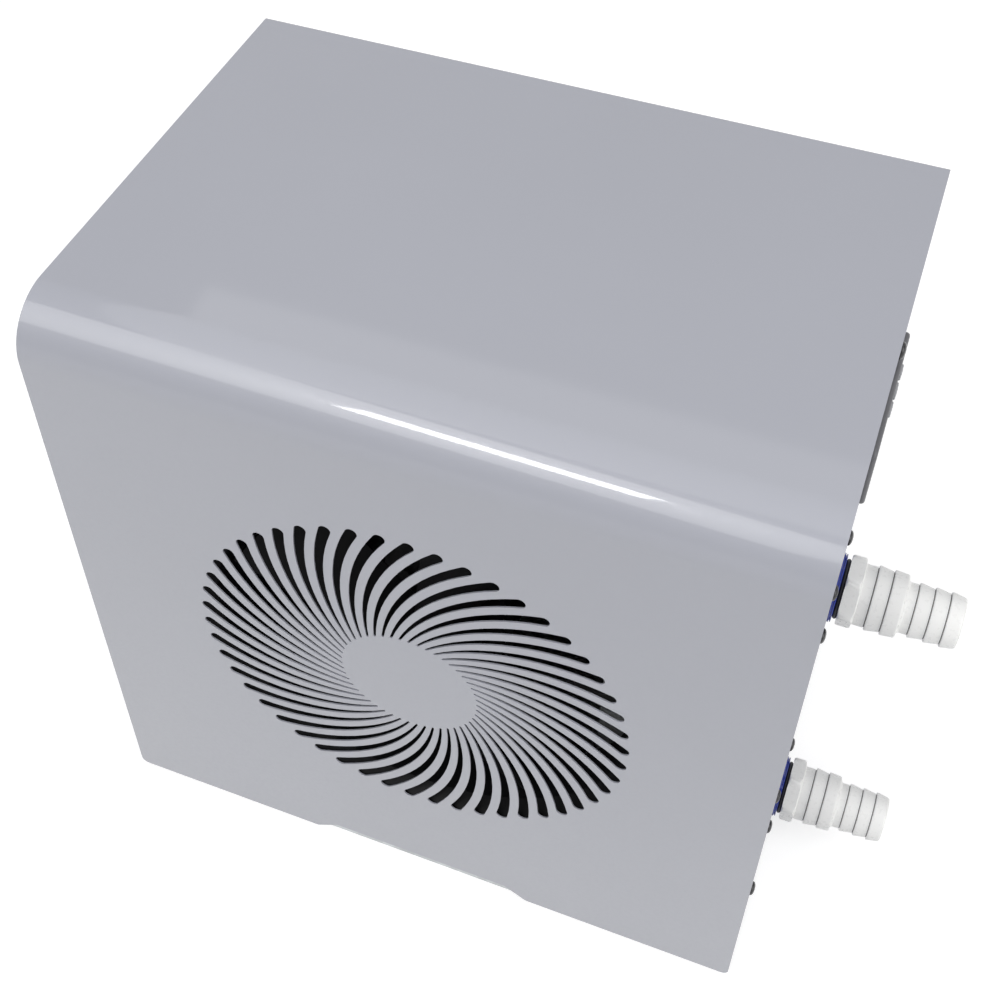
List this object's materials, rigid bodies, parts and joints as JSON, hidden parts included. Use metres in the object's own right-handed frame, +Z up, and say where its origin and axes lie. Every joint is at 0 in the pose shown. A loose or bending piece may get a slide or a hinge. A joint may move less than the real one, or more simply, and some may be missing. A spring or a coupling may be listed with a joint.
{
  "type": "heat pump unit",
  "caption": "Pool water heat pump: boxy bent-sheet casing with a round swirl fan grille, side control panel and stepped water hose tails.",
  "frame": {"origin": "centre of the footprint, on the floor under the feet", "axes": "+X towards the water ports, +Y towards the rear air intake, +Z up; the fan grille faces -Y"},
  "size_m": [0.5088, 0.313, 0.446],
  "materials": {
    "casing_paint": "glossy light blue-grey powder coat",
    "galvanised": "galvanised, faint spangle",
    "black_screw": "black zinc, satin",
    "rubber": "matte",
    "black_plastic": "fine texture",
    "bezel_plastic": "satin",
    "window": "polished, dark",
    "button": "satin",
    "white_pvc": "moulded, satin",
    "blue_plastic": "glossy",
    "grey_pvc": "satin",
    "fin_aluminium": "thin fins",
    "copper": "drawn copper tube",
    "titanium": "titanium tube",
    "steel": "machined",
    "black_enamel": "enamel",
    "board_green": "solder mask",
    "core_iron": "laminated"
  },
  "bodies": {
    "casing": {"wrap_cover": "casing_paint", "left_panel": "casing_paint", "right_panel": "casing_paint", "rear_panel": "casing_paint", "rear_guard": "black_plastic", "base_pan": "galvanised", "feet": "rubber", "left_screws": "black_screw", "right_screws": "black_screw", "rear_screws": "black_screw", "partition": "galvanised", "fan_shroud": "black_plastic", "motor_front_bell": "steel", "motor_housing": "black_enamel", "motor_bearings": "steel", "motor_stator": "core_iron", "motor_bracket": "galvanised", "motor_screws": "steel", "evaporator_fins": "fin_aluminium", "evaporator_end_plates": "galvanised", "evaporator_tube": "copper", "exchanger_shell": "grey_pvc", "exchanger_caps": "grey_pvc", "exchanger_stand": "grey_pvc", "exchanger_coil": "titanium", "coil_core": "grey_pvc", "flow_switch": "black_plastic", "port_unions": "blue_plastic", "port_seals": "rubber", "inlet_hose_tail": "white_pvc", "outlet_hose_tail": "white_pvc", "compressor": "black_enamel", "compressor_base_plate": "black_enamel", "compressor_grommets": "rubber", "compressor_bolts": "steel", "terminal_cover": "black_plastic", "accumulator": "black_enamel", "suction_link": "copper", "suction_pipe": "copper", "discharge_pipe": "copper", "liquid_pipe": "copper", "filter_drier": "copper", "expansion_valve": "steel", "valve_pipe": "copper", "feed_pipe": "copper", "control_box": "black_plastic", "control_box_lid": "black_plastic", "circuit_board": "board_green", "control_bezel": "bezel_plastic", "display_window": "window", "display_board": "board_green", "cable_gland": "black_plastic"},
    "fan": {"fan_impeller": "black_plastic", "fan_nut": "steel", "motor_shaft": "steel", "motor_rotor": "core_iron"},
    "power_button": {"power_button": "button"},
    "mode_button": {"mode_button": "button"},
    "down_button": {"down_button": "button"},
    "up_button": {"up_button": "button"}
  },
  "joints": [
    {"name": "fan_spin", "type": "hinge", "parent": "casing", "child": "fan", "pos_m": [-0.03475, -0.1405, 0.2256], "axis": [0, -1, 0], "continuous": true},
    {"name": "power_press", "type": "slide", "parent": "casing", "child": "power_button", "axis": [-1, 0, 0], "range_m": [0, 0.0008], "stiffness_N_per_m": 600, "springref_m": -0.001},
    {"name": "mode_press", "type": "slide", "parent": "casing", "child": "mode_button", "axis": [-1, 0, 0], "range_m": [0, 0.0008], "stiffness_N_per_m": 600, "springref_m": -0.001},
    {"name": "down_press", "type": "slide", "parent": "casing", "child": "down_button", "axis": [-1, 0, 0], "range_m": [0, 0.0008], "stiffness_N_per_m": 600, "springref_m": -0.001},
    {"name": "up_press", "type": "slide", "parent": "casing", "child": "up_button", "axis": [-1, 0, 0], "range_m": [0, 0.0008], "stiffness_N_per_m": 600, "springref_m": -0.001}
  ]
}
